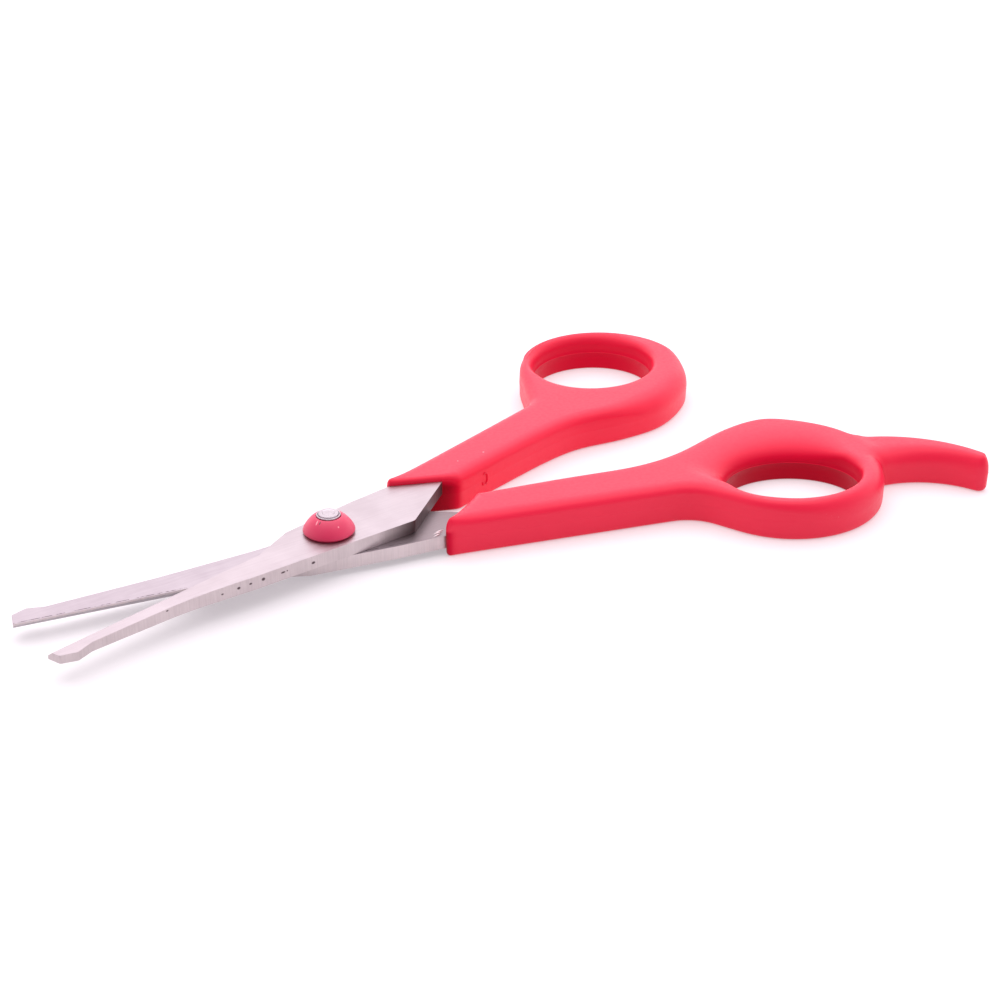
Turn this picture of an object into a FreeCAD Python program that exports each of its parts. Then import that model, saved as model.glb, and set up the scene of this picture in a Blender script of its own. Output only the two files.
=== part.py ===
import FreeCAD, Part
import math
import os
from FreeCAD import Vector

# Scissor nail clipper: two blunt-tipped steel blades on one rivet, each moulded into a plastic
# ring handle.  Millimetres.  The origin is on the pivot axis, at the surface that the clipper
# lies on.  +Z is up, +X runs along the line between the two halves from the pivot towards the
# handles, the thumb handle is on the +Y side and the finger handle on the -Y side.
#
# Each half is drawn in its closed position, where that line is the X axis, and is then turned
# by half of the opening at rest.  The parts of the finger half are drawn on the +Y side like
# those of the thumb half, and mirrored.

# ---------------------------------------------------------------- driving dimensions

OPENING_AT_REST = 12.0     # degrees between the halves as the clipper lies
BLADE_THICKNESS = 2.4
CONTACT_HEIGHT = 3.7       # height of the plane where the blades slide on each other
SLIDE_GAP = 0.03           # running gap between faces that slide
HANDLE_HEIGHT = 7.2
HANDLE_ROUND = 1.0         # edge rounding of the plastic

BLADE_REACH = 55.1         # pivot to the cutting corner of the tip
TIP_OVERLAP = 0.5          # how far the cutting corners pass the closing line when shut
TIP_THICKNESS = 1.45
TAPER_START = 22.0         # distance ahead of the pivot where the blade starts to thin
BEVEL_WIDTH = 2.6
BEVEL_LAND = 0.35          # thickness left at the cutting edge
EDGE_END = (-9.0, 4.1)     # where the cutting edge meets the full-thickness heel
HEEL_STEP = ((-11.1, 2.2), (-7.0, 3.95))

# Corners of a blade in turn, cutting edge on the +Y side: x, y, rounding.  The backs and the heels
# are ground by hand, so those of the two blades differ a little.
TIP_CORNERS = (
    (-BLADE_REACH, -TIP_OVERLAP, 0.5),
    (-54.4, -3.4, 0.5),                    # end facet
    (-51.7, -4.4, 0.6),                    # blunt foot on the spine side
    (-48.7, -3.45, 2.0),
)
UPPER_BACK = ((-31.0, -3.1, 60.0), (-18.5, -4.5, 60.0), (13.4, -6.5, 1.2))
LOWER_BACK = ((-30.0, -3.4, 60.0), (-12.0, -4.05, 30.0), (13.4, -6.5, 1.2))
TANG_CORNERS = ((27.4, 2.3, 1.0), (52.0, 7.6, 1.0), (51.0, 11.6, 1.0))
UPPER_HEEL = ((19.5, 6.4, 3.0), (9.0, 6.05, 40.0), (*EDGE_END, 4.0))
LOWER_HEEL = ((19.5, 7.2, 3.0), (9.0, 6.3, 40.0), (*EDGE_END, 4.0))
KEY_HOLES = ((36.0, 6.9), (46.0, 8.5))     # through the tang, filled by the plastic
KEY_RADIUS = 1.0

# Corners of a handle's slanting front face, and of the shank's outer side where it turns towards
# the ring; the inner side passes through the inner_side points and joins the ring at ring_return
# degrees.  The finger handle has the larger ring and the smaller hole.
THUMB = {
    "front_inner": (29.0, -0.1),
    "front_outer": (16.3, 7.2),
    "outer_round": 0.85,
    "bend": (59.6, 15.15),
    "bend_radius": 5.0,
    "ring_centre": (81.5, 18.05),
    "ring_radius": 16.55,
    "ring_return": -60.0,
    "inner_side": ((44.0, 2.1), (55.5, 3.5), (62.0, 3.3), (68.5, 1.5), (73.6, 0.45), (80.0, 0.15)),
    "hole_centre": (81.3, 20.9),
    "hole_long": 12.3,
    "hole_short": 11.5,
}
FINGER = {
    "front_inner": (27.6, 0.3),
    "front_outer": (16.9, 8.05),
    "outer_round": 0.9,
    "bend": (62.6, 17.5),
    "bend_radius": 8.0,
    "ring_centre": (82.3, 17.4),
    "ring_radius": 17.6,
    "ring_return": -35.0,
    "inner_side": ((48.0, 3.4), (58.0, 4.95), (66.5, 4.3), (76.0, 1.6), (83.8, 0.1), (91.0, 1.4)),
    "hole_centre": (80.75, 21.5),
    "hole_long": 12.2,
    "hole_short": 10.2,
}
FRONT_ROUND = 1.3
HOLE_TURN = 18.0           # direction of the hole's long axis, degrees from X

# The curved arm on the finger ring: arcs of its two sides and of its tip, start, middle and end.
REST_FAR_SIDE = ((97.0, 13.4), (110.0, 21.2), (115.9, 32.3))
REST_TIP = ((115.9, 32.3), (114.8, 34.3), (112.8, 33.4))
REST_NEAR_SIDE = ((112.8, 33.4), (107.7, 27.1), (97.0, 24.0))

PIN_RADIUS = 1.6
PIN_CLEARANCE = 0.05
NECK_RADIUS = 1.0
RIVET_HEAD_RADIUS = 3.2
RIVET_HEAD_EDGE = 0.5
CAP_RADIUS = 4.45
CAP_RISE = 3.1
CAP_SKIRT = 0.4
CAP_BULGE_RADIUS = 3.45    # the dome's side passes here
CAP_BULGE_RISE = 2.0
CAP_TOP_RADIUS = 2.25
CAP_SEAT_DEPTH = 0.35
HEAD_WASHER_RADIUS = 2.07
HEAD_WASHER_THICKNESS = 0.75
HEAD_WASHER_BEVEL = 0.25
TENSION_WASHER_RADIUS = 3.4
TENSION_WASHER_SHEET = 0.3
TENSION_WASHER_HEIGHT = 0.7
RECESS_RADIUS = 3.5        # the hollow under the dome that holds the tension washer

HALF_OPENING = OPENING_AT_REST / 2
LOWER_FACE = CONTACT_HEIGHT - SLIDE_GAP / 2 - BLADE_THICKNESS
UPPER_FACE = CONTACT_HEIGHT + SLIDE_GAP / 2 + BLADE_THICKNESS
CAP_BASE = UPPER_FACE + SLIDE_GAP
CAP_SHOULDER = CAP_BASE + TENSION_WASHER_HEIGHT
CAP_TOP = CAP_BASE + CAP_RISE
CAP_SEAT = CAP_TOP - CAP_SEAT_DEPTH
HEAD_TOP = CAP_SEAT + HEAD_WASHER_THICKNESS
FAR = 200.0                # larger than the whole object, for cutting blocks
OVERCUT = 1.0              # how far a cutting block passes the face that it cuts


# ---------------------------------------------------------------- drawing helpers

def at(point, z=0.0):
    return Vector(point[0], point[1], z)


def corner_arc(before, corner, after, radius):
    """The arc of this radius that rounds a corner, as its start, middle and end points."""
    back = (at(before) - at(corner)).normalize()
    ahead = (at(after) - at(corner)).normalize()
    half_angle = back.getAngle(ahead) / 2
    bisector = (back + ahead).normalize()
    start = at(corner) + back * (radius / math.tan(half_angle))
    end = at(corner) + ahead * (radius / math.tan(half_angle))
    middle = at(corner) + bisector * (radius / math.sin(half_angle) - radius)
    return start, middle, end


def rounded_outline(corners):
    """A closed wire through (x, y, radius) corners; radius 0 leaves a corner sharp."""
    count = len(corners)
    stretches = []
    for i in range(count):
        x, y, radius = corners[i]
        if radius == 0:
            stretches.append((Vector(x, y, 0),))
        else:
            stretches.append(corner_arc(corners[i - 1], (x, y), corners[(i + 1) % count], radius))
    edges = []
    for i in range(count):
        if len(stretches[i]) == 3:
            edges.append(Part.Arc(*stretches[i]).toShape())
        line_end = stretches[(i + 1) % count][0]
        edges.append(Part.LineSegment(stretches[i][-1], line_end).toShape())
    return Part.Wire(edges)


def arc(points):
    return Part.Arc(*[at(point) for point in points]).toShape()


def slab(wire, bottom, top):
    """A flat plate of a wire's shape between two heights."""
    face = Part.Face(wire)
    face.translate(Vector(0, 0, bottom))
    return face.extrude(Vector(0, 0, top - bottom))


def turned(corners, arc_from=None):
    """A solid turned about the pivot axis from (radius, height) corners.

    From corner arc_from to the one two further on, the side is an arc through the one between.
    """
    points = [Vector(radius, 0, height) for radius, height in corners]
    edges = []
    i = 0
    while i < len(points):
        if i == arc_from:
            edges.append(Part.Arc(points[i], points[i + 1], points[i + 2]).toShape())
            i += 2
        else:
            edges.append(Part.LineSegment(points[i], points[(i + 1) % len(points)]).toShape())
            i += 1
    return Part.Face(Part.Wire(edges)).revolve(Vector(0, 0, 0), Vector(0, 0, 1), 360)


def pivot_hole(radius):
    return Part.makeCylinder(radius, FAR, Vector(0, 0, -FAR / 2))


def mirrored(shape):
    return shape.mirror(Vector(0, 0, 0), Vector(0, 1, 0))


def opened(shape, angle):
    moved = shape.copy()
    moved.rotate(Vector(0, 0, 0), Vector(0, 0, 1), angle)
    return moved


def only_solid(shape):
    """The one solid in a boolean's result."""
    solids = shape.removeSplitter().Solids
    assert len(solids) == 1, len(solids)
    return solids[0]


# ---------------------------------------------------------------- blade

def tang_keys():
    """Two holes through the tang that the plastic fills, which lock it in the handle."""
    keys = [Part.makeCylinder(KEY_RADIUS, FAR, at(place, -FAR / 2)) for place in KEY_HOLES]
    return keys[0].fuse(keys[1])


def bevel_cutter():
    """The metal that grinding takes off the cutting edge, for a blade whose flat face is z = 0."""
    tip = at((-BLADE_REACH, -TIP_OVERLAP))
    along = (at(EDGE_END) - tip).normalize()
    inward = Vector(along.y, -along.x, 0)
    start = tip - along * BLADE_REACH
    rise = (BLADE_THICKNESS - BEVEL_LAND) / BEVEL_WIDTH
    wide = BEVEL_WIDTH + OVERCUT / rise
    above = BLADE_THICKNESS + OVERCUT
    section = [
        start - inward * OVERCUT + Vector(0, 0, BEVEL_LAND),
        start + Vector(0, 0, BEVEL_LAND),
        start + inward * wide + Vector(0, 0, above),
        start - inward * OVERCUT + Vector(0, 0, above),
    ]
    wedge = Part.Face(Part.makePolygon(section + section[:1])).extrude(along * 2 * BLADE_REACH)
    step_low, step_high = at(HEEL_STEP[0]), at(HEEL_STEP[1])
    beyond = (step_high - step_low).normalize() * BLADE_THICKNESS
    ground_stretch = [
        step_low - beyond,
        step_high + beyond,
        Vector(-FAR, FAR, 0),
        Vector(-FAR, -FAR, 0),
    ]
    return wedge.common(slab(Part.makePolygon(ground_stretch + ground_stretch[:1]), 0, above))


def taper_cutter():
    """Thins the blade evenly from TAPER_START to the tip, on its outer face."""
    fall = (BLADE_THICKNESS - TIP_THICKNESS) / (BLADE_REACH - TAPER_START)
    end = BLADE_REACH + OVERCUT
    side = Vector(0, -BLADE_REACH, 0)
    profile = [
        side + Vector(-TAPER_START, 0, BLADE_THICKNESS),
        side + Vector(-end, 0, BLADE_THICKNESS - fall * (end - TAPER_START)),
        side + Vector(-end, 0, BLADE_THICKNESS + OVERCUT),
        side + Vector(-TAPER_START, 0, BLADE_THICKNESS + OVERCUT),
    ]
    return Part.Face(Part.makePolygon(profile + profile[:1])).extrude(-side * 2)


def blade(back, heel, hole_radius):
    """One closed-position blade lying on its flat inner face at z = 0."""
    corners = TIP_CORNERS + back + TANG_CORNERS + heel
    body = slab(rounded_outline(corners), 0, BLADE_THICKNESS)
    body = body.cut(bevel_cutter()).cut(taper_cutter())
    return only_solid(body.cut(tang_keys()).cut(pivot_hole(hole_radius)))


def upper_blade():
    shape = blade(UPPER_BACK, UPPER_HEEL, PIN_RADIUS + PIN_CLEARANCE)
    shape.translate(Vector(0, 0, CONTACT_HEIGHT + SLIDE_GAP / 2))
    return opened(shape, HALF_OPENING)


def lower_blade():
    shape = mirrored(blade(LOWER_BACK, LOWER_HEEL, PIN_RADIUS))
    shape = shape.mirror(Vector(0, 0, 0), Vector(0, 0, 1))
    shape.translate(Vector(0, 0, CONTACT_HEIGHT - SLIDE_GAP / 2))
    return opened(shape, -HALF_OPENING)


# ---------------------------------------------------------------- handles

def on_ring(form, angle):
    turn = math.radians(angle)
    spoke = Vector(math.cos(turn), math.sin(turn), 0)
    return at(form["ring_centre"]) + spoke * form["ring_radius"]


def leaving_angle(form):
    """Where a line from the bend touches the ring, degrees from X."""
    to_bend = at(form["bend"]) - at(form["ring_centre"])
    direction = math.degrees(math.atan2(to_bend.y, to_bend.x)) % 360
    return direction - math.degrees(math.acos(form["ring_radius"] / to_bend.Length))


def handle_outline(form):
    """Shank and ring seen from above, in the closed position."""
    inner, outer, bend = form["front_inner"], form["front_outer"], form["bend"]
    leave = on_ring(form, leaving_angle(form))
    back = on_ring(form, form["ring_return"])
    outer_start, outer_mid, outer_end = corner_arc(bend, outer, inner, form["outer_round"])
    inner_start, inner_mid, inner_end = corner_arc(outer, inner, form["inner_side"][0], FRONT_ROUND)
    bend_start, bend_mid, bend_end = corner_arc(outer, bend, leave, form["bend_radius"])
    along_front = (at(form["inner_side"][0]) - at(inner)).normalize()
    along_ring = (back - at(form["ring_centre"])).cross(Vector(0, 0, -1)).normalize()
    inner_side = Part.BSplineCurve()
    inner_side.interpolate(
        Points=[inner_end] + [at(point) for point in form["inner_side"]] + [back],
        InitialTangent=along_front,
        FinalTangent=along_ring,
    )
    return Part.Wire([
        Part.Arc(outer_end, outer_mid, outer_start).toShape(),
        Part.LineSegment(outer_start, bend_start).toShape(),
        Part.Arc(bend_start, bend_mid, bend_end).toShape(),
        Part.LineSegment(bend_end, leave).toShape(),
        Part.Arc(leave, on_ring(form, 0), back).toShape(),
        inner_side.toShape(),
        Part.Arc(inner_end, inner_mid, inner_start).toShape(),
        Part.LineSegment(inner_start, outer_end).toShape(),
    ])


def finger_hole(form):
    ellipse = Part.Ellipse(Vector(0, 0, 0), form["hole_long"], form["hole_short"]).toShape()
    ellipse.rotate(Vector(0, 0, 0), Vector(0, 0, 1), HOLE_TURN)
    ellipse.translate(at(form["hole_centre"]))
    return slab(Part.Wire([ellipse]), -OVERCUT, HANDLE_HEIGHT + OVERCUT)


def flat_edges(shape):
    """The edges that lie in the top or the bottom face."""
    box = shape.BoundBox
    flat = []
    for edge in shape.Edges:
        for height in (box.ZMin, box.ZMax):
            if abs(edge.BoundBox.ZMin - height) < 1e-6 and abs(edge.BoundBox.ZMax - height) < 1e-6:
                flat.append(edge)
    return flat


def handle(form):
    """The closed-position handle, with its edges rounded."""
    body = slab(handle_outline(form), 0, HANDLE_HEIGHT).cut(finger_hole(form))
    return body.makeFillet(HANDLE_ROUND, flat_edges(body))


def finger_rest():
    """The curved arm on the finger ring."""
    root = Part.LineSegment(at(REST_NEAR_SIDE[2]), at(REST_FAR_SIDE[0])).toShape()
    wire = Part.Wire([arc(REST_FAR_SIDE), arc(REST_TIP), arc(REST_NEAR_SIDE), root])
    plate = slab(wire, 0, HANDLE_HEIGHT)
    rims = [edge for edge in flat_edges(plate) if not isinstance(edge.Curve, Part.Line)]
    return plate.makeFillet(HANDLE_ROUND, rims)


def thumb_handle(steel):
    return only_solid(opened(handle(THUMB), HALF_OPENING).cut(steel))


def finger_handle(steel):
    shape = mirrored(handle(FINGER).fuse(finger_rest()))
    return only_solid(opened(shape, -HALF_OPENING).cut(steel))


# ---------------------------------------------------------------- pivot

def pivot_rivet():
    """A pin with a low flat head underneath; its neck is spread flush with the head washer."""
    return turned([
        (0, 0),
        (RIVET_HEAD_RADIUS - RIVET_HEAD_EDGE, 0),
        (RIVET_HEAD_RADIUS, RIVET_HEAD_EDGE),
        (RIVET_HEAD_RADIUS, LOWER_FACE),
        (PIN_RADIUS, LOWER_FACE),
        (PIN_RADIUS, CAP_SHOULDER),
        (NECK_RADIUS, CAP_SHOULDER),
        (NECK_RADIUS, HEAD_TOP),
        (0, HEAD_TOP),
    ])


def pivot_cap():
    """The plastic dome between the upper blade and the head washer, hollow underneath."""
    return turned([
        (RECESS_RADIUS, CAP_BASE),
        (CAP_RADIUS, CAP_BASE),
        (CAP_RADIUS, CAP_BASE + CAP_SKIRT),
        (CAP_BULGE_RADIUS, CAP_BASE + CAP_BULGE_RISE),
        (CAP_TOP_RADIUS, CAP_TOP),
        (HEAD_WASHER_RADIUS, CAP_TOP),
        (HEAD_WASHER_RADIUS, CAP_SEAT),
        (NECK_RADIUS, CAP_SEAT),
        (NECK_RADIUS, CAP_SHOULDER),
        (RECESS_RADIUS, CAP_SHOULDER),
    ], arc_from=2)


def head_washer():
    return turned([
        (NECK_RADIUS, CAP_SEAT),
        (HEAD_WASHER_RADIUS, CAP_SEAT),
        (HEAD_WASHER_RADIUS, HEAD_TOP - HEAD_WASHER_BEVEL),
        (HEAD_WASHER_RADIUS - HEAD_WASHER_BEVEL, HEAD_TOP),
        (NECK_RADIUS, HEAD_TOP),
    ])


def tension_washer():
    """A dished spring washer under the dome that keeps the two blades pressed together."""
    return turned([
        (TENSION_WASHER_RADIUS, CAP_BASE),
        (TENSION_WASHER_RADIUS, CAP_BASE + TENSION_WASHER_SHEET),
        (PIN_RADIUS, CAP_SHOULDER),
        (PIN_RADIUS, CAP_SHOULDER - TENSION_WASHER_SHEET),
    ])


# ---------------------------------------------------------------- sub-parts

def main():
    upper_steel = upper_blade()
    lower_steel = lower_blade()
    sub_parts = {
        "upper_blade": upper_steel,
        "thumb_handle": thumb_handle(upper_steel),
        "lower_blade": lower_steel,
        "finger_handle": finger_handle(lower_steel),
        "pivot_rivet": pivot_rivet(),
        "pivot_cap": pivot_cap(),
        "head_washer": head_washer(),
        "tension_washer": tension_washer(),
    }
    os.makedirs("parts", exist_ok=True)
    for name, shape in sub_parts.items():
        assert shape.isValid(), name
        shape.exportStep("parts/" + name + ".step")
        box = shape.BoundBox
        print(f"{name:15s} {shape.Volume:9.1f} mm3  x {box.XMin:.1f}..{box.XMax:.1f}"
              f"  y {box.YMin:.1f}..{box.YMax:.1f}  z {box.ZMin:.2f}..{box.ZMax:.2f}")


main()
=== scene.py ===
import math

import bmesh
import bpy
import numpy as np
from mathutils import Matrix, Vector, geometry

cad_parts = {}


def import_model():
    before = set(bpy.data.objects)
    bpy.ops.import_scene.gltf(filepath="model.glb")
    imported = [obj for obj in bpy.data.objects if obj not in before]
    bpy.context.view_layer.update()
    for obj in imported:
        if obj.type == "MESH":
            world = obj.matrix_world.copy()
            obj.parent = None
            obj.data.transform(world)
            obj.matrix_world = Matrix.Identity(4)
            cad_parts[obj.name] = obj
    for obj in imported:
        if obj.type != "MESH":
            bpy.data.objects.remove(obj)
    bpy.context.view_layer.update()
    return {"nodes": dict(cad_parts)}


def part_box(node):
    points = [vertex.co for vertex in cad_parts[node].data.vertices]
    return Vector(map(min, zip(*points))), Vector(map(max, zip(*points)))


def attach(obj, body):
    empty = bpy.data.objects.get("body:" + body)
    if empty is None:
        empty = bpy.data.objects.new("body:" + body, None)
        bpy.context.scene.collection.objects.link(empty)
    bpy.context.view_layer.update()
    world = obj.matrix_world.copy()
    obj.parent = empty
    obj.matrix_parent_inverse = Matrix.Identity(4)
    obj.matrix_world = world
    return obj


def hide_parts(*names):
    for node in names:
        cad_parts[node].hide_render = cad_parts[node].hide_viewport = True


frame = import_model()

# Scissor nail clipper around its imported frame.  Metres, in the frame's own axes: +X from the pivot
# towards the handles, +Y towards the thumb handle, +Z up from the surface that it lies on.
# The handles' and blades' outlines are cut from the frame's own solids, so nothing is resized.

MM = 0.001

# ---------------------------------------------------------------- measures from the frame

LOWER_LOW, LOWER_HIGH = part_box("lower_blade")
CAP_LOW, CAP_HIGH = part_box("pivot_cap")
WASHER_LOW, WASHER_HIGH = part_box("head_washer")
RIVET_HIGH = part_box("pivot_rivet")[1]

HANDLE_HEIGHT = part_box("thumb_handle")[1].z
CAP_RADIUS = CAP_HIGH.x
WASHER_RADIUS = WASHER_HIGH.x
RIVET_HEAD_RADIUS = RIVET_HIGH.x
PIN_RADIUS = 1.6 * MM              # of the rivet, through the blades
NECK_RADIUS = 1.0 * MM             # of the rivet, through the dome and its disc
CAP_HOLLOW_RADIUS = 3.5 * MM       # under the dome, where the tension washer sits
CAP_SHOULDER = CAP_LOW.z + 0.7 * MM   # top of that hollow
THUMB_CUT = 0.3 * HANDLE_HEIGHT    # heights where a level cut through a handle misses its tang
FINGER_CUT = 0.7 * HANDLE_HEIGHT

# ---------------------------------------------------------------- shape of the mouldings

OUTLINE_STEP = 0.35 * MM      # spacing of the points along an outline
OUTLINE_SOFTNESS = 0.45 * MM  # evens out the facets of the frame's outlines
SKIN_STEP = 0.8 * MM          # spacing of the points inside a top or bottom face
SKIN_CLEARANCE = 0.6          # those points keep away from the outlines by this share of the spacing
ROUND_STEPS = 9               # rows of faces in an edge rounding
ROOM_SPREAD = 3               # evens out the room for a rounding, in places along an outline
FRONT_SPREAD = 2.5            # the same for the change from a side to the front face
WALL_INSET = 0.05 * MM        # the walls stand back by this from the crest of the parting line
PARTING_HALF_WIDTH = 0.11 * MM
FAINT_PARTING = 0.15          # share of the crest that is left where the parting line is trimmed
CLOSE_PARTING_LOSS = 0.9      # share of the crest that the rings' -Y side goes without
DRAFT = math.tan(math.radians(1.6))
REST_DROP = 0.3 * MM          # the finger rest lies this much below the ring's top
REST_SIDE = (8 * MM, 13 * MM)     # past the ring's centre along X, where the rest's side of it begins
REST_ROUNDING = (0.4 * MM, 3 * MM)   # out from the ring's edge, where the rest's own rounding takes over
REST_END_LOSS = 0.55          # share of the rest's rounding that its +X end goes without
FRONT_REACH = 36 * MM         # the front faces are nearer to the pivot than this
RING_START = 66 * MM          # the rings are past here
RING_BLEND = 12 * MM          # and have their own roundings from this much further on
FAR_DIRECTION = np.array([0.7, 0.7])
CLOSE_DIRECTION = np.array([0.1, -0.99])

# Where a share starts and where it is full, as cosines between an outline's normal and a direction.
FACING_PIVOT = (0.3, 0.6)
FACING_FAR = (0.2, 0.9)
FACING_CLOSE = (0.1, 0.7)
FACING_DISH = (0.1, 0.8)
FACING_REST_END = (0.5, 0.95)
FACING_UNTRIMMED = (0.3, 0.8)  # the parting line isn't trimmed on the +X side

# A rounding's reach is kept under a share of the largest circle that fits inside the outline there.
# The shares of two facing roundings add up to 2 at most, so that they never cross.
SAFE_SHARE = 0.93
DISHED_SHARE = 1.6            # of the hole's rounding where the ring is dished
FACING_DISHED_SHARE = 2 - DISHED_SHARE
CLOSE_SHARE = 1.45            # of the outer rounding on the rings' -Y side
FACING_CLOSE_SHARE = 1.9 - CLOSE_SHARE
STEEPEST = 2.5                # the most that a rounding drops for its reach
STEEPEST_IN_HOLE = 1.15

# Edge roundings: how far they reach into the face, and how far down the wall.
OUTER_TOP = (2.3 * MM, 1.8 * MM)
OUTER_BOTTOM = (1.0 * MM, 1.0 * MM)
OUTER_TOP_FAR = (1.3 * MM, 1.0 * MM)   # on the side of the rings towards +X and +Y
OUTER_TOP_CLOSE = (4.0 * MM, 3.3 * MM)   # on the rings' -Y side
REST_TOP = (4.4 * MM, 3.2 * MM)
HOLE_TOP = (1.8 * MM, 1.5 * MM)
HOLE_TOP_DISHED = (10.5 * MM, 3.3 * MM)   # on the +Y side of a hole, where the ring is dished
HOLE_BOTTOM = (0.6 * MM, 0.5 * MM)
THUMB_FRONT = (0.95 * MM, 0.8 * MM)
FINGER_FRONT = (2.6 * MM, 2.6 * MM)
FRONT_BOTTOM = (0.8 * MM, 0.7 * MM)

EDGE_BREAK = 0.09 * MM        # chamfer that breaks the blades' ground edges
SHARP_ANGLE = math.radians(22)   # the least angle of such an edge
FLAT_ANGLE = math.radians(0.6)   # the frame's facets are joined under this angle


# ---------------------------------------------------------------- mesh helpers

def new_object(name, bm, materials, body, replaces=()):
    """Turns a bmesh into a piece that rides on a body and stands for the given CAD nodes."""
    bmesh.ops.recalc_face_normals(bm, faces=bm.faces)
    mesh = bpy.data.meshes.new(name)
    bm.to_mesh(mesh)
    bm.free()
    for material in materials:
        mesh.materials.append(material)
    obj = bpy.data.objects.new(name, mesh)
    bpy.context.scene.collection.objects.link(obj)
    mesh.shade_smooth()
    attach(obj, body)
    for node in replaces:
        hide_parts(node)
    return obj


def weighted_normals(obj):
    """Flat faces shade flat, beside their narrow roundings."""
    modifier = obj.modifiers.new("even_normals", "WEIGHTED_NORMAL")
    modifier.weight = 60
    modifier.keep_sharp = False


def section(node, height):
    """The closed outlines where a level plane cuts a CAD node, the longest first, as (x, y) arrays."""
    bm = bmesh.new()
    bm.from_mesh(frame["nodes"][node].data)
    bmesh.ops.remove_doubles(bm, verts=bm.verts, dist=0.001 * MM)
    bmesh.ops.bisect_plane(
        bm,
        geom=bm.verts[:] + bm.edges[:] + bm.faces[:],
        dist=0.0001 * MM,
        plane_co=(0, 0, height),
        plane_no=(0, 0, 1),
        clear_inner=True,
        clear_outer=True,
    )
    bmesh.ops.remove_doubles(bm, verts=bm.verts, dist=0.001 * MM)
    loops = []
    passed = set()
    for start in bm.verts:
        if start in passed:
            continue
        loop = [start]
        current, came_by = start, None
        while True:
            ahead = [e for e in current.link_edges if e is not came_by]
            if not ahead:
                break
            came_by = ahead[0]
            current = came_by.other_vert(current)
            if current is start:
                break
            loop.append(current)
        passed.update(loop)
        loops.append(np.array([(v.co.x, v.co.y) for v in loop]))
    bm.free()
    return sorted(loops, key=outline_length, reverse=True)


def outline_length(loop):
    return np.linalg.norm(np.roll(loop, -1, 0) - loop, axis=1).sum()


def signed_area(loop):
    ahead = np.roll(loop, -1, 0)
    return 0.5 * (loop[:, 0] * ahead[:, 1] - loop[:, 1] * ahead[:, 0]).sum()


def even_outline(loop, step, softness):
    """The same outline, anticlockwise, with evenly spaced points and its facets evened out."""
    if signed_area(loop) < 0:
        loop = loop[::-1]
    closed = np.vstack([loop, loop[:1]])
    along = np.concatenate([[0], np.cumsum(np.linalg.norm(np.diff(closed, axis=0), axis=1))])
    count = int(along[-1] / step)
    places = np.linspace(0, along[-1], count, endpoint=False)
    points = np.column_stack([np.interp(places, along, closed[:, k]) for k in (0, 1)])
    return smoothed(points, softness / (along[-1] / count))


def smoothed(values, width):
    """A closed row of values, evened out over a width of this many places."""
    reach = int(3 * width) + 1
    offsets = np.arange(-reach, reach + 1)
    weights = np.exp(-0.5 * (offsets / width) ** 2)
    weights /= weights.sum()
    return sum(w * np.roll(values, k, 0) for w, k in zip(weights, offsets))


def outward(points):
    """Unit normals pointing out of an anticlockwise outline."""
    tangent = np.roll(points, -1, 0) - np.roll(points, 1, 0)
    normal = np.column_stack([tangent[:, 1], -tangent[:, 0]])
    return normal / np.linalg.norm(normal, axis=1, keepdims=True)


def room_inside(points, inward, walls):
    """Radius of the largest circle that touches each point and lies inside all the walls."""
    gap = walls[None, :, :] - points[:, None, :]
    depth = (gap * inward[:, None, :]).sum(2)
    square = (gap ** 2).sum(2)
    radius = np.where(depth > 0.01 * MM, square / (2 * np.maximum(depth, 1e-9)), np.inf)
    return radius.min(1)


def soft_min(wanted, limit, power=4):
    """The smaller of two values, with a soft change from one to the other."""
    return (wanted ** -power + limit ** -power) ** (-1 / power)


def smooth_step(low, high, value):
    t = np.clip((value - low) / (high - low), 0, 1)
    return t * t * (3 - 2 * t)


def inside(points, loop):
    """Which points lie inside a closed outline."""
    ahead = np.roll(loop, -1, 0)
    x, y = points[:, None, 0], points[:, None, 1]
    crosses = (loop[None, :, 1] > y) != (ahead[None, :, 1] > y)
    rise = np.where(ahead[:, 1] == loop[:, 1], 1e-12, ahead[:, 1] - loop[:, 1])
    at_x = loop[None, :, 0] + (y - loop[None, :, 1]) / rise * (ahead[:, 0] - loop[:, 0])
    return (crosses & (x < at_x)).sum(1) % 2 == 1


def face_fill(outer, hole, step):
    """Triangles between an outline and the hole in it: all points, outline first, and corners."""
    low, high = outer.min(0), outer.max(0)
    rows = np.arange(low[1], high[1], step * math.sqrt(3) / 2)
    grid = np.array([
        (x + (step / 2 if k % 2 else 0), y)
        for k, y in enumerate(rows)
        for x in np.arange(low[0], high[0], step)
    ])
    grid = grid[inside(grid, outer) & ~inside(grid, hole)]
    border = np.vstack([outer, hole])
    nearest = np.array([np.linalg.norm(border - p, axis=1).min() for p in grid])
    grid = grid[nearest > SKIN_CLEARANCE * step]
    points = np.vstack([border, grid])
    n, m = len(outer), len(hole)
    edges = [(i, (i + 1) % n) for i in range(n)]
    edges += [(n + i, n + (i + 1) % m) for i in range(m)]
    made = geometry.delaunay_2d_cdt([Vector(p) for p in points], edges, [], 0, 1e-9)
    places = np.array([v[:] for v in made[0]])
    source = [ids[0] if ids else None for ids in made[3]]
    triangles = np.array(made[2])
    centres = places[triangles].mean(1)
    kept = triangles[inside(centres, outer) & ~inside(centres, hole)]
    return places, source, kept


# ---------------------------------------------------------------- handles

def blended(first, second, share):
    """A (reach, drop) pair at each point, between two pairs."""
    return [a * (1 - share) + b * share for a, b in zip(first, second)]


def fitted(sizes, room, share=SAFE_SHARE, steepest=STEEPEST):
    """Reach and drop of a rounding at each point, fitted to the room there."""
    reach, drop = sizes
    reach = soft_min(reach * np.ones(len(room)), share * room)
    drop = soft_min(drop * np.ones(len(room)), steepest * reach, 8)
    return reach, drop


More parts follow.
